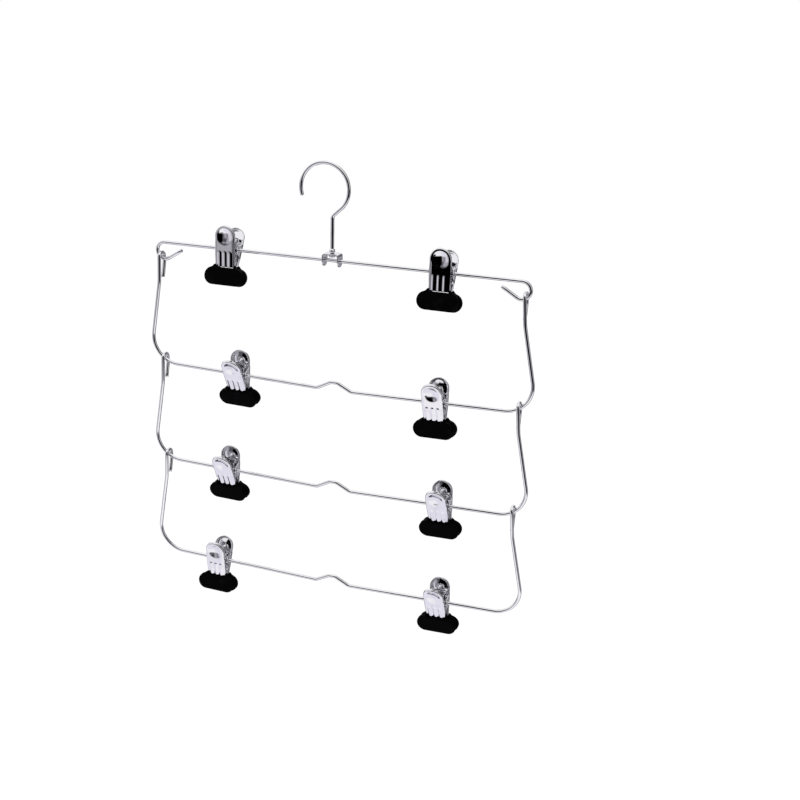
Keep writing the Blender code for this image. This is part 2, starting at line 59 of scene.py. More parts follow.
# One socket of a node tree, with maths nodes behind Python's operators
class Wire:

    def __init__(self, tree, socket=None):
        self.tree = tree
        self.socket = socket

    # A node of this tree: its type, its settings, its inputs, and which output to use
    def node(self, kind, settings=None, inputs=None, out=0):
        made = self.tree.nodes.new("ShaderNode" + kind)
        for key, value in (settings or {}).items():
            setattr(made, key, value)
        for key, value in (inputs or {}).items():
            if isinstance(value, Wire):
                self.tree.links.new(value.socket, made.inputs[key])
            else:
                made.inputs[key].default_value = value
        return Wire(self.tree, None if out is None else made.outputs[out])

    def math(self, operation, *values):
        return self.node("Math", {"operation": operation}, dict(enumerate(values)))

    def __add__(self, other):
        return self.math("ADD", self, other)

    __radd__ = __add__

    def __sub__(self, other):
        return self.math("SUBTRACT", self, other)

    def __rsub__(self, other):
        return self.math("SUBTRACT", other, self)

    def __mul__(self, other):
        return self.math("MULTIPLY", self, other)

    __rmul__ = __mul__

    # 0 below low, 1 above high, with an eased step
    def between(self, low, high):
        return self.node("MapRange", {"interpolation_type": "SMOOTHSTEP"}, {0: self, 1: low, 2: high})

    # 1 between low and high, 0 outside, eased over soft on either side
    def band(self, low, high, soft):
        return self.between(low - soft, low + soft) * (1 - self.between(high - soft, high + soft))

    # The first colour where this is 0, the second where it is 1
    def mix(self, first, second):
        settings = {"data_type": "RGBA"}
        return self.node("Mix", settings, {0: self, 6: first, 7: second}, 2)


def newMaterial(name, metallic, sheen=None):
    material = bpy.data.materials.new(name)
    material.use_nodes = True
    shader = material.node_tree.nodes["Principled BSDF"]
    shader.inputs["Metallic"].default_value = metallic
    for key, value in (sheen or {}).items():
        shader.inputs[key].default_value = value
    return material, Wire(material.node_tree), shader


def joinUp(tree, wires, shader):
    for key, wire in wires.items():
        tree.links.new(wire.socket, shader.inputs[key])


# Finishes

chromeLook = {
    "colour": (0.88, 0.885, 0.90, 1),
    "worn": (0.70, 0.70, 0.74, 1),
    "smooth": 0.05,
    "rough": 0.15,
    "drawAlong": 40,
    "drawAcross": 2600,
    "drawDetail": 3.0,
    "drawStrength": 0.5,
    "drawDepth": 0.000012,
    "hazeScale": 90.0,
    "hazeDetail": 4.0,
    "roughSpan": (0.45, 0.8),
    "wornSpan": (0.55, 0.85),
}


# Bright drawn wire: faint die lines along it, a little haze in patches
def wireChrome(look):
    material, w, shader = newMaterial("wireChrome", 1.0)
    scale = (look["drawAlong"], look["drawAcross"], 1)
    along = w.node("Mapping", {}, {0: w.node("TexCoord", out=2), 3: scale})
    drawn = {"Vector": along, "Scale": 1.0, "Detail": look["drawDetail"]}
    lines = w.node("TexNoise", {"noise_dimensions": "2D"}, drawn)
    spot = w.node("TexCoord", out=3)
    haze = w.node("TexNoise", {}, {"Vector": spot, "Scale": look["hazeScale"], "Detail": look["hazeDetail"]})
    rough = look["smooth"] + haze.between(*look["roughSpan"]) * (look["rough"] - look["smooth"])
    bump = {"Strength": look["drawStrength"], "Distance": look["drawDepth"], "Height": lines}
    joinUp(w.tree, {
        "Base Color": haze.between(*look["wornSpan"]).mix(look["colour"], look["worn"]),
        "Roughness": rough,
        "Normal": w.node("Bump", {}, bump),
    }, shader)
    return material


sheetLook = {
    "colour": (0.86, 0.855, 0.88, 1),
    "worn": (0.68, 0.67, 0.72, 1),
    "smooth": 0.045,
    "rough": 0.16,
    "rippleScale": 330,
    "rippleDetail": 1.5,
    "rippleStrength": 0.6,
    "rippleDepth": 0.00008,
    "scuffScale": 1400.0,
    "scuffDetail": 4.0,
    "scuffRoughness": 0.6,
    "scuffStrength": 0.25,
    "scuffDepth": 0.000008,
    "hazeScale": 150.0,
    "hazeDetail": 5.0,
    "roughSpan": (0.42, 0.8),
    "wornSpan": (0.5, 0.85),
}


# Plated pressed sheet: slow ripples from the press, haze, fine scuffs
def sheetChrome(look):
    material, w, shader = newMaterial("sheetChrome", 1.0)
    spot = w.node("TexCoord", out=3)
    ripples = {"Vector": spot, "Scale": look["rippleScale"], "Detail": look["rippleDetail"]}
    ripple = w.node("TexNoise", {}, ripples)
    scuffs = {"Vector": spot, "Scale": look["scuffScale"], "Detail": look["scuffDetail"]}
    scuff = w.node("TexNoise", {}, {**scuffs, "Roughness": look["scuffRoughness"]})
    haze = w.node("TexNoise", {}, {"Vector": spot, "Scale": look["hazeScale"], "Detail": look["hazeDetail"]})
    rough = look["smooth"] + haze.between(*look["roughSpan"]) * (look["rough"] - look["smooth"])
    slow = {"Strength": look["rippleStrength"], "Distance": look["rippleDepth"], "Height": ripple}
    fine = {"Strength": look["scuffStrength"], "Distance": look["scuffDepth"], "Height": scuff}
    joinUp(w.tree, {
        "Base Color": haze.between(*look["wornSpan"]).mix(look["colour"], look["worn"]),
        "Roughness": rough,
        "Normal": w.node("Bump", {}, {**fine, "Normal": w.node("Bump", {}, slow)}),
    }, shader)
    return material


grain = {
    "rougher": 0.12,
    "grainDetail": 5.0,
    "grainStrength": 0.3,
    "grainDepth": 0.00001,
    "darkSpan": (0.35, 0.75),
    "roughSpan": (0.3, 0.8),
}
steelLook = {
    **grain,
    "colour": (0.62, 0.62, 0.65, 1),
    "dark": (0.40, 0.40, 0.43, 1),
    "smooth": 0.24,
    "grainScale": 1200.0,
}
stripLook = {
    **grain,
    "colour": (0.82, 0.82, 0.85, 1),
    "dark": (0.62, 0.62, 0.66, 1),
    "smooth": 0.10,
    "grainScale": 700.0,
}


# Steel with a fine uneven grain, for the strip and the springs
def grainedSteel(name, look):
    material, w, shader = newMaterial(name, 1.0)
    spot = w.node("TexCoord", out=3)
    grains = {"Vector": spot, "Scale": look["grainScale"], "Detail": look["grainDetail"]}
    mottle = w.node("TexNoise", {}, grains)
    bump = {"Strength": look["grainStrength"], "Distance": look["grainDepth"], "Height": mottle}
    joinUp(w.tree, {
        "Base Color": mottle.between(*look["darkSpan"]).mix(look["colour"], look["dark"]),
        "Roughness": look["smooth"] + mottle.between(*look["roughSpan"]) * look["rougher"],
        "Normal": w.node("Bump", {}, bump),
    }, shader)
    return material


padLook = {
    "colour": (0.0008, 0.0008, 0.0010, 1),
    "dusty": (0.004, 0.004, 0.005, 1),
    "gloss": 0.025,
    "smooth": 0.52,
    "rougher": 0.2,
    "pitScale": 2200.0,
    "pitDetail": 3.0,
    "pitStrength": 0.35,
    "pitDepth": 0.00003,
    "patchScale": 120.0,
    "patchDetail": 5.0,
    "dustySpan": (0.5, 0.85),
    "roughSpan": (0.3, 0.8),
}


# Black moulded rubber: satin, finely pitted, a trace of dust in patches
def padRubber(look):
    material, w, shader = newMaterial("padRubber", 0.0, {"Specular IOR Level": look["gloss"]})
    spot = w.node("TexCoord", out=3)
    pits = w.node("TexNoise", {}, {"Vector": spot, "Scale": look["pitScale"], "Detail": look["pitDetail"]})
    patches = {"Vector": spot, "Scale": look["patchScale"], "Detail": look["patchDetail"]}
    patch = w.node("TexNoise", {}, patches)
    bump = {"Strength": look["pitStrength"], "Distance": look["pitDepth"], "Height": pits}
    joinUp(w.tree, {
        "Base Color": patch.between(*look["dustySpan"]).mix(look["colour"], look["dusty"]),
        "Roughness": look["smooth"] + patch.between(*look["roughSpan"]) * look["rougher"],
        "Normal": w.node("Bump", {}, bump),
    }, shader)
    return material


finishes = {
    "wire": wireChrome(chromeLook),
    "sheet": sheetChrome(sheetLook),
    "strip": grainedSteel("stripSteel", stripLook),
    "spring": grainedSteel("springSteel", steelLook),
    "pad": padRubber(padLook),
}
print("finishes made:", len(finishes))


# Surfaces

# Quads of a grid, as indices into its points laid out row by row
def gridFaces(rows, columns, closedRows=False, closedColumns=False):
    i = np.arange(rows if closedRows else rows - 1)
    j = np.arange(columns if closedColumns else columns - 1)
    i, j = np.meshgrid(i, j, indexing="ij")
    nextI, nextJ = (i + 1) % rows, (j + 1) % columns
    corners = (i * columns + j, i * columns + nextJ, nextI * columns + nextJ, nextI * columns + j)
    return np.stack([c.ravel() for c in corners], axis=1)


# A mesh from whole arrays; uv holds one pair for each face corner
def meshOf(name, points, faces, uv=None):
    mesh = bpy.data.meshes.new(name)
    mesh.vertices.add(len(points))
    mesh.vertices.foreach_set("co", np.ascontiguousarray(points, dtype=np.float32).ravel())
    mesh.loops.add(faces.size)
    mesh.loops.foreach_set("vertex_index", faces.ravel().astype(np.int32))
    mesh.polygons.add(len(faces))
    mesh.polygons.foreach_set("loop_start", np.arange(0, faces.size, faces.shape[1], dtype=np.int32))
    if uv is not None:
        layer = mesh.uv_layers.new(name="UVMap")
        layer.data.foreach_set("uv", np.ascontiguousarray(uv, dtype=np.float32).ravel())
    mesh.update(calc_edges=True)
    mesh.validate()
    return mesh


def gridMesh(name, grid, closedRows=False, closedColumns=False, uv=None):
    rows, columns = grid.shape[:2]
    faces = gridFaces(rows, columns, closedRows, closedColumns)
    loops = None if uv is None else uv.reshape(-1, 2)[faces.ravel()]
    return meshOf(name, grid.reshape(-1, 3), faces, loops)


# Merges doubles and points the faces outwards
def welded(mesh, distance=1e-7):
    work = bmesh.new()
    work.from_mesh(mesh)
    bmesh.ops.remove_doubles(work, verts=work.verts, dist=distance)
    bmesh.ops.recalc_face_normals(work, faces=work.faces)
    work.to_mesh(mesh)
    work.free()
    return mesh


# A new piece whose object stays at the origin, its place given to its mesh
def place(name, mesh, finish, matrix=None):
    if matrix is not None:
        mesh.transform(matrix)
    mesh.shade_smooth()
    piece = bpy.data.objects.new(name, mesh)
    bpy.context.scene.collection.objects.link(piece)
    piece.data.materials.append(finishes[finish])
    return piece


# An arc: its first arm turned towards its last in even steps
def arcPoints(centre, first, last, step):
    turn = np.arccos(np.clip(first @ last / np.linalg.norm(first) / np.linalg.norm(last), -1, 1))
    share = np.linspace(0, 1, max(2, math.ceil(math.degrees(turn) / step)) + 1)[:, None]
    return centre + (first * np.sin((1 - share) * turn) + last * np.sin(share * turn)) / np.sin(turn)


# Straight runs between corners, with an arc of its own radius at each inner one
def bentPath(corners, radii, step=4.0):
    corners = np.array(corners, dtype=float)
    runs = [corners[:1]]
    for before, corner, after, radius in zip(corners, corners[1:], corners[2:], radii):
        back = (before - corner) / np.linalg.norm(before - corner)
        on = (after - corner) / np.linalg.norm(after - corner)
        half = np.arccos(np.clip(back @ on, -1, 1)) / 2
        middle = back + on
        centre = corner + middle / np.linalg.norm(middle) * radius / math.sin(half)
        setback = radius / math.tan(half)
        first, last = (corner + way * setback - centre for way in (back, on))
        runs.append(arcPoints(centre, first, last, step))
    runs.append(corners[-1:])
    return np.concatenate(runs)


# An arc in the XZ plane, angles in degrees from +X towards +Z
def flatArc(centre, radius, start, end, step=4.0):
    count = max(2, math.ceil(abs(end - start) / step)) + 1
    a = np.radians(np.linspace(start, end, count))
    return np.array(centre) + radius * np.stack([np.cos(a), np.zeros(count), np.sin(a)], axis=1)


# A path symmetric about X = 0 from its right half
def mirrored(half):
    return np.concatenate([half[::-1] * np.array([-1, 1, 1]), half])


# Adds points along straight runs so that no step is too long
def evened(path, longest=0.006):
    steps = np.linalg.norm(np.diff(path, axis=0), axis=1)
    keep = np.concatenate([[True], steps > 1e-7])
    path = path[keep]
    steps = np.linalg.norm(np.diff(path, axis=0), axis=1)
    counts = np.maximum(1, np.ceil(steps / longest).astype(int))
    parts = [a + (b - a) * np.linspace(0, 1, n, endpoint=False)[:, None]
             for a, b, n in zip(path[:-1], path[1:], counts)]
    return np.concatenate(parts + [path[-1:]])


# Tangents, and a cross direction carried along the path with the least twist
def carriedFrames(path):
    tangent = np.gradient(path, axis=0)
    tangent /= np.linalg.norm(tangent, axis=1)[:, None]
    across = np.zeros_like(path)
    across[0] = np.cross(tangent[0], (0.0, 1.0, 0.0))
    if np.linalg.norm(across[0]) < 0.1:
        across[0] = np.cross(tangent[0], (1.0, 0.0, 0.0))
    for i in range(1, len(path)):
        across[i] = across[i - 1] - tangent[i] * (across[i - 1] @ tangent[i])
        across[i] /= np.linalg.norm(across[i])
    across[0] /= np.linalg.norm(across[0])
    return tangent, across, np.cross(tangent, across)


# The rows of an array with its first and last ones repeated for a tube's eased ends
def endRows(array, count=4):
    return np.concatenate([np.repeat(array[:1], count, 0), array[1:-1], np.repeat(array[-1:], count, 0)])


# A circle carried along a path: centre + radius * (cos across + sin up); the cut ends ease to a point
def tube(name, path, radius, sides=24, swell=None):
    tangent, across, up = carriedFrames(path)
    length = np.concatenate([[0], np.cumsum(np.linalg.norm(np.diff(path, axis=0), axis=1))])
    radii = np.full(len(path), radius) if swell is None else np.array(swell)
    ease = np.array([0.0, 0.55, 0.86, 0.97])
    inset = radius * np.array([0.0, 0.0, 0.07, 0.2])
    first = path[0] + tangent[0] * inset[:, None]
    last = path[-1] - tangent[-1] * inset[::-1][:, None]
    centres = np.concatenate([first, path[1:-1], last])
    radii = np.concatenate([ease * radii[0], radii[1:-1], ease[::-1] * radii[-1]])
    across, up, length = endRows(across), endRows(up), endRows(length)
    angle = np.linspace(0, 2 * np.pi, sides + 1)
    ring = np.cos(angle)[None, :, None] * across[:, None] + np.sin(angle)[None, :, None] * up[:, None]
    grid = centres[:, None] + radii[:, None, None] * ring
    uv = np.stack(np.broadcast_arrays(length[:, None], angle[None] * radius), axis=-1)
    return welded(gridMesh(name, grid, uv=uv))


# Camera: stands where the photograph was taken from, in the hanger's own frame

cameraSetup = {
    "position": (0.38201, -0.89844, 0.15203),
    "turn": (70.5968, -1.49436, 19.87421),
    "focal": 1257.32,  # in pixels of a frame this wide
    "frame": 800,
    "sensor": 36.0,
}


def makeCamera(setup):
    lens = bpy.data.cameras.new("studioCamera")
    lens.sensor_width = setup["sensor"]
    lens.lens = setup["focal"] / setup["frame"] * setup["sensor"]
    camera = bpy.data.objects.new("studioCamera", lens)
    camera.location = setup["position"]
    camera.rotation_euler = [math.radians(a) for a in setup["turn"]]
    bpy.context.scene.collection.objects.link(camera)
    bpy.context.scene.camera = camera


# Studio. Each zone is a colour between two bearings and two heights in degrees, with its soft widths;
# a bearing is 0 to the front and 90 to the right. Later zones lie over earlier ones.

studio = {
    "white": (0.97, 0.97, 0.98, 1),
    "zones": (
        ((0.86, 0.84, 0.93, 1), (-400, 400, 1), (-100, -17, 4)),  # pale lilac all round, below
        ((0.99, 0.98, 1.00, 1), (-30, 75, 5), (-54, -17, 5)),  # white ground in front
        ((0.66, 0.65, 0.67, 1), (62, 169, 10), (-15, 70, 10)),  # grey to the right
        ((0.12, 0.12, 0.13, 1), (107, 169, 9), (-75, 51, 12)),  # dark to the right and behind
        ((0.36, 0.35, 0.38, 1), (148, 175, 5), (-30, -3, 5)),  # grey low behind, on the right
        ((0.30, 0.29, 0.35, 1), (-200, -134, 12), (-27, 0, 6)),  # grey low behind, on the left
        ((0.10, 0.10, 0.11, 1), (50, 92, 6), (-30, -7, 4)),  # black low on the right, for upright wires
        ((0.72, 0.70, 0.76, 1), (-100, -48, 6), (-27, 3, 4)),  # light to the left
        ((0.24, 0.235, 0.26, 1), (-52, -18, 6), (-27, 3, 4)),  # dark grey in front, on the left
        ((0.15, 0.145, 0.165, 1), (-20, 62, 5), (-27, 3, 4)),  # darker in front, on the right
        ((0.44, 0.43, 0.46, 1), (-36, -24, 5), (-26, -2, 5)),  # grey strip, for the upper left clip
        ((0.42, 0.41, 0.46, 1), (-64, -40, 6), (0, 34, 5)),  # grey above, on the left
        ((0.10, 0.097, 0.11, 1), (-42, 20, 6), (2, 32, 5)),  # dark above, in front
        ((0.08, 0.08, 0.09, 1), (-172, -97, 3), (-82, -2, 7)),  # black low to the left and behind
    ),
    "diffuse": (0.90, 0.90, 0.91, 1),
    "level": 1.0,
    "floorHeight": -0.62,
    "floorSize": 14.0,
    "floorColour": (0.96, 0.96, 0.965, 1),
    "floorRough": 0.9,
    "floorGlow": 1.06,
    "floorShare": 0.8,
    "cardAway": 0.56,
    "cardParts": (  # each part from X to X and from Z to Z, with its soft widths
        ((-0.18, 0.95, 0.05), (-0.40, 0.36, 0.07)),
        ((-0.26, 0.00, 0.05), (-0.44, -0.38, 0.04)),
        ((0.26, 0.95, 0.05), (-0.56, -0.36, 0.05)),
    ),
    "cardEdge": 0.12,
    "lampPower": 9.0,
    "lampSize": 1.4,
    "lampPlace": (-0.5, -1.2, 1.5),
    "lampAim": (0, 0, -0.2),
}


# The world: white for the camera, a plain level for matt surfaces, the zones for metal
def makeWorld(setup):
    world = bpy.data.worlds.new("studioWorld")
    bpy.context.scene.world = world
    world.use_nodes = True
    tree = world.node_tree
    tree.nodes.clear()
    w = Wire(tree)
    split = w.node("SeparateXYZ", {}, {0: w.node("TexCoord", out=0)})
    x, y, z = (Wire(tree, socket) for socket in split.socket.node.outputs)
    height = w.math("ARCSINE", z) * (180 / math.pi)
    bearing = w.math("ARCTAN2", x, y * -1) * (180 / math.pi)
    seen = setup["white"]
    for colour, around, up in setup["zones"]:
        seen = (bearing.band(*around) * height.band(*up)).mix(seen, colour)
    rays = w.node("LightPath").socket.node.outputs
    soft = Wire(tree, rays["Is Diffuse Ray"]).mix(seen, setup["diffuse"])
    colour = Wire(tree, rays["Is Camera Ray"]).mix(soft, (1, 1, 1, 1))
    background = w.node("Background", {}, {"Color": colour, "Strength": setup["level"]})
    w.node("OutputWorld", {}, {0: background}, None)


# A flat grid of quads across two directions from a corner
def flatMesh(name, corner, along, up, count=5):
    share = np.linspace(0, 1, count)
    a, b = np.meshgrid(share, share, indexing="ij")
    return gridMesh(name, np.array(corner) + a[..., None] * np.array(along) + b[..., None] * np.array(up))


# The floor: matt, under a glow that only the camera sees, so that it ends in white and keeps its shadow
def makeFloor(setup):
    size = setup["floorSize"]
    corner = (-size / 2, -size / 2, setup["floorHeight"])
    material, w, shader = newMaterial("paleFloor", 0.0)
    shader.inputs["Base Color"].default_value = setup["floorColour"]
    shader.inputs["Roughness"].default_value = setup["floorRough"]
    rays = w.node("LightPath").socket.node.outputs
    share = Wire(w.tree, rays["Is Camera Ray"]) * setup["floorShare"]
    glow = w.node("Emission", {}, {"Color": (1, 1, 1, 1), "Strength": setup["floorGlow"]})
    matt = Wire(w.tree, shader.outputs[0])
    both = w.node("MixShader", {}, {0: share, 1: matt, 2: glow})
    w.tree.links.new(both.socket, w.tree.nodes["Material Output"].inputs[0])
    floor = bpy.data.objects.new("studioFloor", flatMesh("studioFloor", corner, (size, 0, 0), (0, size, 0)))
    floor.data.materials.append(material)
    floor.visible_glossy = False
    bpy.context.scene.collection.objects.link(floor)


# A dark card in front of the hanger, there for reflections only: soft-edged parts of one sheet
def makeCard(setup):
    parts, edge = setup["cardParts"], setup["cardEdge"]
    spans = np.array([(across[:2], up[:2]) for across, up in parts])
    left, low = spans.min(axis=(0, 2))
    right, high = spans.max(axis=(0, 2))
    corner = (left - edge, -setup["cardAway"], low - edge)
    material, w, shader = newMaterial("darkCard", 0.0, {"Specular IOR Level": 0.0, "Roughness": 1.0})
    shader.inputs["Base Color"].default_value = (0.0, 0.0, 0.0, 1)
    split = w.node("SeparateXYZ", {}, {0: w.node("TexCoord", out=3)})
    x, z = (Wire(w.tree, split.socket.node.outputs[i]) for i in (0, 2))
    solid = 0.0
    for across, up in parts:
        solid = w.math("MAXIMUM", x.band(*across) * z.band(*up), solid)
    black = Wire(w.tree, shader.outputs[0])
    both = w.node("MixShader", {}, {0: solid, 1: w.node("BsdfTransparent"), 2: black})
    w.tree.links.new(both.socket, w.tree.nodes["Material Output"].inputs[0])
    mesh = flatMesh("darkCard", corner, (right - left + 2 * edge, 0, 0), (0, 0, high - low + 2 * edge))
    card = bpy.data.objects.new("darkCard", mesh)
    card.data.materials.append(material)
    card.visible_camera = False
    card.visible_diffuse = False
    card.visible_shadow = False
    bpy.context.scene.collection.objects.link(card)


def makeLamp(setup):
    lamp = bpy.data.lights.new("softLamp", "AREA")
    lamp.energy = setup["lampPower"]
    lamp.size = setup["lampSize"]
    holder = bpy.data.objects.new("softLamp", lamp)
    holder.location = setup["lampPlace"]
    aim = Vector(setup["lampAim"]) - Vector(setup["lampPlace"])
    holder.rotation_euler = aim.to_track_quat("-Z", "Y").to_euler()
    holder.visible_glossy = False
    bpy.context.scene.collection.objects.link(holder)


bpy.context.scene.view_settings.view_transform = "Standard"
makeCamera(cameraSetup)
makeWorld(studio)
makeFloor(studio)
makeCard(studio)
makeLamp(studio)
print("camera and studio ready")


# Hook

hook = {
    "wire": 0.0015,
    "radius": 0.0202,
    "offset": 0.0066,
    "tip": 200.0,
    "leave": -48.0,
    "bend": 0.0040,
    "arcStep": 3.0,
    "sides": 32,
    "beadTop": -0.0653,
    "bead": (  # height and radius of each ring of the collar and the head
        (-0.0655, 0.0015), (-0.0659, 0.0018), (-0.0663, 0.0022), (-0.0669, 0.0024), (-0.0676, 0.0024),
        (-0.0682, 0.0022), (-0.0686, 0.0018), (-0.0689, 0.0015), (-0.0706, 0.0015), (-0.0708, 0.0022),
        (-0.0711, 0.0026), (-0.0718, 0.0026), (-0.0723, 0.0022), (-0.0727, 0.0013),
    ),
}


# A round arc from the tip over the top, one bend, and a plumb shank
def hookPath(h):
    centre = np.array((0, 0, h["wire"] - h["radius"]))
    path = flatArc(centre, h["radius"], h["tip"], h["leave"], h["arcStep"])
    leave = math.radians(h["leave"])
    last = path[-1]
    run = (h["offset"] - last[0]) / math.sin(leave)
    bend = last + run * np.array((math.sin(leave), 0, -math.cos(leave)))
    top = (h["offset"], 0, h["beadTop"])
    return np.concatenate([path[:-1], bentPath([last, bend, top], [h["bend"]])])


def makeHook(h):
    path = evened(hookPath(h))
    radii = np.full(len(path), h["wire"])
    heights, swells = np.array(h["bead"]).T
    low = np.stack([np.full(len(heights), h["offset"]), np.zeros(len(heights)), heights], axis=1)
    path, radii = np.concatenate([path, low]), np.concatenate([radii, swells])
    mesh = tube("hookWire", path, h["wire"], h["sides"], radii)
    piece = place("hookWire", mesh, "wire")
    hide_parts("hook")
    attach(piece, "hook")


makeHook(hook)
print("hook made")


# Top rail and tiers

rail = {
    "wire": 0.00147,
    "half": 0.1523,
    "curl": 0.0070,
    "tailAngle": 31.5,
    "tail": 0.0144,
}


# A straight rail whose ends curl under and back; it lies on its pivot's axis
def makeRail(r):
    centre = (r["half"], 0, -r["curl"])
    half = flatArc(centre, r["curl"], 90, -90 - r["tailAngle"])
    slant = math.radians(r["tailAngle"])
    tip = half[-1] + r["tail"] * np.array((-math.cos(slant), 0, math.sin(slant)))
    path = evened(mirrored(np.concatenate([half, [tip]])))
    axis = Matrix.Translation(joints["rail_pivot"]["pos_m"])
    piece = place("railWire", tube("railWire", path, r["wire"]), "wire", axis)
    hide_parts("top_rail")
    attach(piece, "rail")


tier = {
    "wire": 0.00147,
    "reach": 0.1556,
    "loop": 0.003799,
    "crest": 0.0045,
    "tailStraight": 0.0045,
    "tailBend": 0.0060,
    "tailEnd": (0.0008, 0.0170),  # gap to the leg, depth
    "knee": (0.1571, -0.0200, 0.0300),  # place, then bend
    "corner": (0.1700, -0.09085, 0.0220),
    "slope": 1.33,
    "hump": (0.0150, 0.0028, 0.0063, 0.0050),  # foot, top, rise and bend
    "hang": 2.4724,
}


def barHeight(t, x):
    return t["corner"][1] - (t["corner"][0] - abs(x)) * math.tan(math.radians(t["slope"]))


# A bar with its hump, round corners, leaning legs, and a loop over the wire above whose tail bends back to
# the leg
def tierPath(t):
    foot, top, rise, humpBend = t["hump"]
    footHeight = barHeight(t, foot)
    corners = [
        (0, footHeight + rise), (top, footHeight + rise), (foot, footHeight),
        (t["corner"][0], t["corner"][1]), (t["knee"][0], t["knee"][1]), (t["reach"], t["crest"]),
    ]
    front = [(x, -t["loop"], z) for x, z in corners]
    gap, low = t["tailEnd"]
    back = [
        (t["reach"], t["loop"], t["crest"]), (t["reach"], t["loop"], -t["tailStraight"]),
        (t["reach"], -t["loop"] + 2 * t["wire"] + gap, -low),
    ]
    radii = [humpBend, humpBend, t["corner"][2], t["knee"][2], t["loop"], t["loop"], t["tailBend"]]
    half = bentPath(front + back, radii)
    return evened(mirrored(half[1:]))


def makeTiers(t):
    path = tierPath(t)
    for number in (2, 3, 4):
        joint = joints[f"tier_{number}_hinge"]
        hang = Matrix.Translation(joint["pos_m"]) @ Matrix.Rotation(math.radians(t["hang"]), 4, "X")
        name = f"tierWire{number}"
        piece = place(name, tube(name, path, t["wire"]), "wire", hang)
        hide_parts(f"tier_frame_{number}")
        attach(piece, f"tier_{number}")


makeRail(rail)
makeTiers(tier)
print("rail and tiers made")


# Clips: local X along the bar, front towards -Y, the bar's centre at the origin

clip = {
    "tilts": {
        "1l": -15.5, "1r": -15.2, "2l": 14.5, "2r": 1.8,
        "3l": 12.5, "3r": 9.3, "4l": -4.0, "4r": 9.1,
    },
    "lean": 14.24,
    "nest": 0.00055,
    "sheet": 0.0008,
    "halfWidth": 0.0087,
    "offset": 0.0064,
    "top": 0.0199,
    "foot": 0.0136,
    "rimDepth": 0.0024,
    "rimBend": 0.0010,
    "dishRadius": 0.0066,
    "dishDepth": 0.0018,
    "dishEase": 0.0007,
    "flutes": (-0.0046, 0.0, 0.0046),
    "fluteHalf": 0.0019,
    "fluteHeight": 0.00052,
    "fluteTop": -0.0006,
    "fluteEase": (0.15, 1.15),  # where the flute leaves its crest and meets the plate
    "borderIn": 0.0017,
    "borderSoft": 0.0004,
    "borderStep": 0.00012,
    "earHole": 0.0018,
    "earEnd": 0.0034,
    "earRoot": 0.0070,
    "earEdge": 0.0002,
    "earSink": 0.0003,
    "earSteps": 97,
    "earSharp": 35,
    "earGrazing": 0.05,
    "sideRows": 60,
    "roundRows": 61,
    "flatColumns": 34,
    "bendColumns": 9,
    "rimColumns": 4,
}


# 0 below low, 1 above high, with an eased step
def eased(x, low, high):
    t = np.clip((x - low) / (high - low), 0, 1)
    return t * t * (3 - 2 * t)


# Height of the plate's face over its plane: less a ball's cap in the dish, plus three rounded flutes,
# less a small step inside the border
def plateRelief(c, a, b):
    centre = c["top"] - c["halfWidth"]
    ball = (c["dishRadius"] ** 2 + c["dishDepth"] ** 2) / (2 * c["dishDepth"])
    r = np.hypot(a, b - centre)
    sunk = np.sqrt(np.maximum(ball**2 - r**2, 0)) - (ball - c["dishDepth"])
    lip = c["dishEase"]
    sunk = np.where(sunk > -lip, (sunk + lip) ** 2 / (4 * lip), 0) * (sunk < lip) + sunk * (sunk >= lip)
    relief = -sunk
    for across in c["flutes"]:
        over = np.maximum(b - (c["fluteTop"] - c["fluteHalf"]), 0)
        d = np.hypot(a - across, over) / c["fluteHalf"]
        relief += c["fluteHeight"] * (1 - eased(d, *c["fluteEase"]))
    edge = np.where(b > centre, c["halfWidth"] - r, c["halfWidth"] - np.abs(a))
    inside = eased(edge, c["borderIn"] - c["borderSoft"], c["borderIn"] + c["borderSoft"])
    return relief - c["borderStep"] * (1 - inside)


# The sheet as one open surface. The first parameter runs round the outline from one bottom corner over the
# round top to the other; the second from the middle line to the edge, round the bend and down the rim.
def plateMesh(c):
    centre = c["top"] - c["halfWidth"]
    side = np.linspace(-c["foot"], centre, c["sideRows"])
    angles = np.radians(np.linspace(0, 180, c["roundRows"]))[1:-1]
    hubs = np.concatenate([side, np.full_like(angles, centre), side[::-1]])
    across = np.concatenate([np.ones_like(side), np.cos(angles), -np.ones_like(side)])
    up = np.concatenate([np.zeros_like(side), np.sin(angles), np.zeros_like(side)])
    flat = (c["halfWidth"] - c["rimBend"]) * np.linspace(0, 1, c["flatColumns"])
    bend = np.radians(np.linspace(0, 90, c["bendColumns"]))[1:]
    drop = np.linspace(0, c["rimDepth"] - c["rimBend"], c["rimColumns"])[1:]
    rim = np.full_like(drop, c["halfWidth"])
    out = np.concatenate([flat, flat[-1] + c["rimBend"] * np.sin(bend), rim])
    down = np.concatenate([np.zeros_like(flat), c["rimBend"] * (1 - np.cos(bend)), c["rimBend"] + drop])
    a = across[:, None] * out
    b = hubs[:, None] + up[:, None] * out
    y = c["offset"] + plateRelief(c, a, b) - down
    return gridMesh("jawPlate", np.stack([a, y, b], axis=-1))


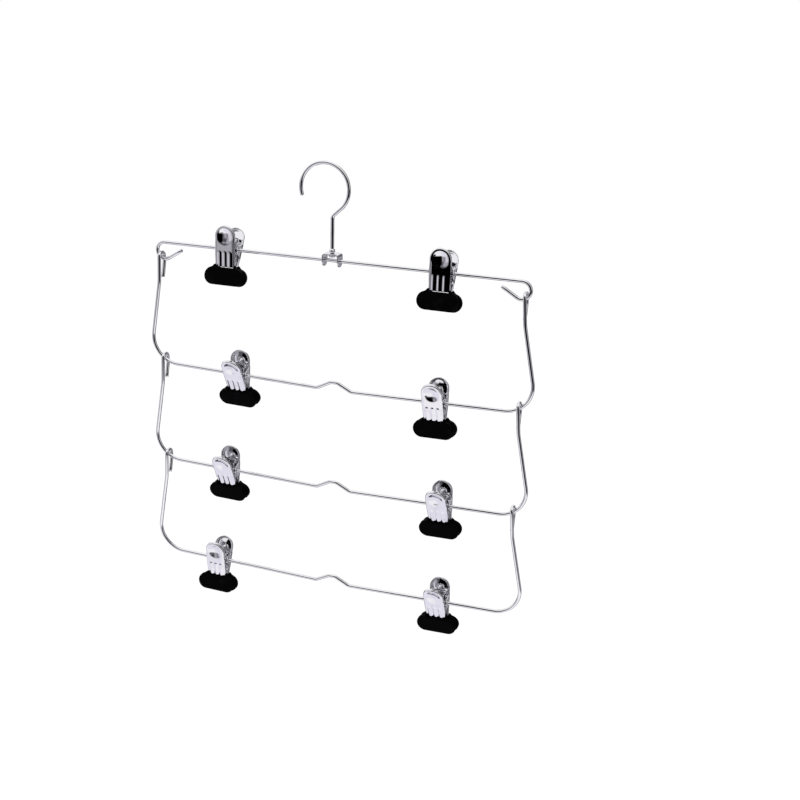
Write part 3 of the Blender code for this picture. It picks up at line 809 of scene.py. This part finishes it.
# A flat ear: a ring from the bar's hole to an outline of a round end and two tangents to the plate
def earMesh(name, c, across):
    hole, end, root = c["earHole"], c["earEnd"], c["earRoot"]
    base = c["offset"] - c["earSink"]
    tangent = math.atan2(root, base) + math.acos(end / math.hypot(base, root))
    angle = np.linspace(-np.pi, np.pi, c["earSteps"])
    reach = np.full_like(angle, end)
    toward = np.abs(angle) < tangent
    reach[toward] = end / np.maximum(np.cos(tangent - np.abs(angle[toward])), c["earGrazing"])
    ahead = np.cos(angle) > c["earGrazing"]
    reach[ahead] = np.minimum(reach[ahead], base / np.cos(angle[ahead]))
    half = c["sheet"] / 2
    soft = c["earEdge"]
    ring = []
    profile = (
        (0, 0, -half + soft), (0, soft, -half), (1, -soft, -half), (1, 0, -half + soft),
        (1, 0, half - soft), (1, -soft, half), (0, soft, half), (0, 0, half - soft),
    )
    for share, inset, side in profile:
        r = (hole + (reach - hole) * share) + inset
        x = np.full_like(r, across + side)
        ring.append(np.stack([x, r * np.cos(angle), r * np.sin(angle)], axis=-1))
    grid = np.stack(ring)
    return welded(gridMesh(name, grid, closedRows=True))


def joinMeshes(name, meshes):
    work = bmesh.new()
    for mesh in meshes:
        work.from_mesh(mesh)
    joined = bpy.data.meshes.new(name)
    work.to_mesh(joined)
    work.free()
    return joined


# The plate with its wall thickness and its two ears
def jawMesh(c):
    sheet = bpy.data.objects.new("jawSheet", welded(plateMesh(c)))
    bpy.context.scene.collection.objects.link(sheet)
    facing = sum(polygon.normal.y * polygon.area for polygon in sheet.data.polygons)
    if facing < 0:
        sheet.data.flip_normals()
    wall = sheet.modifiers.new("wall", "SOLIDIFY")
    wall.thickness = c["sheet"]
    wall.offset = -1
    bpy.context.view_layer.update()
    solid = bpy.data.meshes.new_from_object(sheet.evaluated_get(bpy.context.evaluated_depsgraph_get()))
    bpy.data.objects.remove(sheet)
    flush = c["halfWidth"] - c["sheet"] / 2
    lean = Matrix.Rotation(-math.radians(c["lean"]), 4, "X")
    ears = [earMesh("leftEar", c, -flush), earMesh("rightEar", c, flush)]
    for ear in ears:
        ear.set_sharp_from_angle(angle=math.radians(c["earSharp"]))
    jaw = joinMeshes("jaw", [solid] + ears)
    jaw.transform(lean)
    return jaw


pad = {
    "halfWidth": 0.0171,
    "height": 0.0148,
    "endRadius": 0.0073,
    "top": -0.015056,
    "thickness": 0.004408,
    "edge": 0.0011,
    "gap": 0.00015,
    "plate": 0.0087,
    "riseWidth": 0.0014,
    "rise": 0.0022,
    "riseStart": (-0.0005, 0.0001),
    "riseFoot": 0.3,
    "faceInset": 0.3,
    "lengthSteps": 81,
    "endSteps": 31,
    "faceRings": 8,
    "edgeRings": 9,
}


# A capsule outline lofted through rounded edges: hub + radius * direction, the hub running along the middle
# line. Outside the plate its top rises as a bell curve that is tallest against the plate's side.
def padMesh(p):
    reach = p["halfWidth"] - p["endRadius"]
    along = np.linspace(-reach, reach, p["lengthSteps"])
    turn = np.radians(np.linspace(-90, 90, p["endSteps"]))[1:-1]
    hub = np.concatenate([along, np.full_like(turn, reach), along[::-1], np.full_like(turn, -reach)])
    quarter = np.full_like(along, np.pi / 2)
    angle = np.concatenate([-quarter, turn, quarter, turn + np.pi])
    middle = p["top"] - p["height"] / 2
    bend = np.radians(np.linspace(0, 90, p["edgeRings"]))
    face = np.linspace(1, p["faceInset"], p["faceRings"])
    inset = np.concatenate([face, p["edge"] / p["endRadius"] * (1 - np.sin(bend))])
    lift = np.concatenate([np.zeros_like(face), p["edge"] * (1 - np.cos(bend))])
    half = p["thickness"] / 2
    radius = p["endRadius"] * (1 - np.concatenate([inset, inset[::-1]]))[:, None]
    depth = np.concatenate([half - lift, lift[::-1] - half])
    x = hub + radius * np.cos(angle)
    z = middle + radius * np.sin(angle)
    out = np.abs(x) - p["plate"]
    near = np.exp(-(np.maximum(out, 0) / p["riseWidth"]) ** 2) * eased(out, *p["riseStart"])
    high = eased(z, middle + p["riseFoot"] * p["endRadius"], middle + p["endRadius"])
    z = z + p["rise"] * near * high
    y = np.broadcast_to(p["gap"] + half + depth[:, None], x.shape)
    return welded(gridMesh("pad", np.stack([x, y, z], axis=-1), closedColumns=True))


spring = {
    "wire": 0.00065,
    "bar": 0.0015,
    "play": 0.0005,
    "pitch": 0.0019,
    "turns": 2,
    "arm": 22.8,
    "twist": 0.0034,
    "seatGap": 0.0003,
    "coilSteps": 150,
    "armStep": 0.002,
    "sides": 14,
}


# One torsion spring: a helix round the bar, its two straight arms bearing on the plates
def springMesh(s, c):
    radius = s["bar"] + s["play"] + s["wire"]
    aim = math.radians(c["lean"] + s["arm"])
    end = math.radians(360 * s["turns"] + 90) - aim
    turn = np.linspace(-end, end, s["coilSteps"])
    x = s["pitch"] * turn / (2 * np.pi)
    coil = np.stack([x, radius * np.sin(turn), -radius * np.cos(turn)], axis=1)
    seat = c["offset"] - c["sheet"] - s["seatGap"] - s["wire"]
    slant = math.radians(s["arm"])
    length = (seat - radius * math.cos(slant)) / math.sin(slant)
    rear = coil[-1] + length * np.array((0, math.sin(aim), math.cos(aim)))
    front = rear * np.array((-1, -1, 1))
    path = evened(np.concatenate([[front], coil, [rear]]), s["armStep"])
    return tube("spring", path, s["wire"], s["sides"])


# The clip's place: its bar's direction from the joint, its tilt about the bar
def clipMatrix(c, name):
    joint = joints[f"clip_{name}_swing"]
    along = Vector(joint["axis"])
    tierTurn = math.radians(tier["hang"]) if name[0] != "1" else 0.0
    hang = Matrix.Rotation(tierTurn, 4, "X")
    slope = 0.0 if name[0] == "1" else math.radians(tier["slope"]) * (1 if "l" in name else -1)
    tilt = math.radians(c["tilts"][name]) - tierTurn
    turn = hang @ Matrix.Rotation(slope, 4, "Y") @ Matrix.Rotation(tilt, 4, "X")
    if (turn.to_3x3() @ Vector((1, 0, 0))).dot(along) < 0.99999:
        raise ValueError(f"clip {name} doesn't lie along its bar")
    return Matrix.Translation(joint["pos_m"]) @ turn


# Both jaws are one pressing, the front one turned half round.
def makeClips(c):
    nest = Matrix.Translation((c["nest"], 0, 0))
    halfTurn = Matrix.Rotation(math.pi, 4, "Z")
    parts = (("jaw", jawMesh(c), "sheet", "pressed_jaw"), ("pad", padMesh(pad), "pad", "black_rubber"))
    coil = springMesh(spring, c)
    for name in c["tilts"]:
        here = clipMatrix(c, name)
        for side, turn in (("rear", nest), ("front", halfTurn @ nest)):
            body = f"clip_{name}_{side}"
            for kind, mesh, finish, slot in parts:
                piece = place(f"{side}{kind.title()}{name}", mesh.copy(), finish, here @ turn)
                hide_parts(f"{side}_{kind}_{name}")
                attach(piece, body)
        piece = place(f"springCoil{name}", coil.copy(), "spring", here)
        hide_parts(f"spring_{name}")
        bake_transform(piece)
    print("clips made:", len(c["tilts"]))


makeClips(clip)


# Bracket: a strip drawn flat, folded to an upside-down U, with a hole for the shank and two for the rail

bracket = {
    "width": 0.0142,
    "depth": 0.0098,
    "sheet": 0.0012,
    "bend": 0.0018,
    "top": 0.0058,
    "hole": 0.0018,
    "edge": 0.00028,
    "edgeSegments": 3,
    "edgeAngle": 50,
    "plateSteps": 15,
    "bendSteps": 11,
    "armSteps": 8,
    "footSteps": 37,
}


# Rings of quads from a round hole out to a closed outline
def holedPatch(name, middle, radius, outline, rows=5):
    reach = outline - middle
    circle = radius * reach / np.linalg.norm(reach, axis=1)[:, None]
    share = np.linspace(0, 1, rows)[:, None, None]
    flat = middle + circle + share * (reach - circle)
    return gridMesh(name, np.concatenate([flat, np.zeros_like(flat[..., :1])], axis=-1), closedColumns=True)


# Points of an outline side from its two coordinates, either of which may be one number
def outlineSide(a, b):
    return np.stack(np.broadcast_arrays(a, b), axis=-1)


# The flat strip: one patch round the shank's hole, and on both sides a plain piece for the bend and a patch
# round the rail's hole that ends in a half circle
def flatStrip(k):
    half = k["depth"] / 2
    edge = (k["width"] - k["sheet"]) / 2 - k["bend"]
    arm = edge + k["bend"] * math.pi / 2
    low = arm + k["top"] - k["sheet"] / 2 - k["bend"]
    v = np.linspace(-half, half, k["plateSteps"])
    u = np.linspace(-edge, edge, k["plateSteps"])[1:-1]
    plate = np.concatenate([
        outlineSide(edge, v), outlineSide(u[::-1], half),
        outlineSide(-edge, v[::-1]), outlineSide(u, -half),
    ])
    pieces = [holedPatch("plate", np.zeros(2), k["hole"], plate)]
    turn = np.radians(np.linspace(-90, 90, k["footSteps"]))
    foot = np.stack([low + half * np.cos(turn), half * np.sin(turn)], axis=-1)
    run = np.linspace(arm, low, k["armSteps"])[1:-1]
    right = np.concatenate([
        outlineSide(arm, v[::-1]), outlineSide(run, -half), foot, outlineSide(run[::-1], half),
    ])
    a, b = np.meshgrid(np.linspace(edge, arm, k["bendSteps"]), v, indexing="ij")
    for way in (1, -1):
        pieces.append(holedPatch("arm", np.array((way * low, 0)), k["hole"], right * (way, 1)))
        pieces.append(gridMesh("bend", np.stack([way * a, b, np.zeros_like(a)], axis=-1)))
    return joinMeshes("strip", pieces)


# The strip folded: level to the edge, a quarter turn, then plumb; its height is over the rail's centre line
def foldedStrip(k):
    mesh = flatStrip(k)
    flat = np.empty(len(mesh.vertices) * 3, dtype=np.float32)
    mesh.vertices.foreach_get("co", flat)
    u, v = flat.reshape(-1, 3)[:, 0], flat.reshape(-1, 3)[:, 1]
    edge = (k["width"] - k["sheet"]) / 2 - k["bend"]
    turn = np.clip((np.abs(u) - edge) / k["bend"], 0, math.pi / 2)
    drop = np.maximum(np.abs(u) - edge - k["bend"] * math.pi / 2, 0)
    x = np.minimum(np.abs(u), edge) + k["bend"] * np.sin(turn)
    z = k["top"] - k["sheet"] / 2 - k["bend"] * (1 - np.cos(turn)) - drop
    mesh.vertices.foreach_set("co", np.stack([np.sign(u) * x, v, z], axis=-1).ravel().astype(np.float32))
    return welded(mesh, 1e-6)


def makeBracket(k):
    spot = Matrix.Translation(joints["bracket_swivel"]["pos_m"])
    piece = place("bracketStrip", foldedStrip(k), "strip", spot)
    wall = piece.modifiers.new("wall", "SOLIDIFY")
    wall.thickness = k["sheet"]
    wall.offset = 0
    edge = piece.modifiers.new("edge", "BEVEL")
    edge.width = k["edge"]
    edge.segments = k["edgeSegments"]
    edge.limit_method = "ANGLE"
    edge.angle_limit = math.radians(k["edgeAngle"])
    edge.harden_normals = True
    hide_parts("swivel_bracket")
    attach(piece, "bracket")


makeBracket(bracket)
print("bracket made")
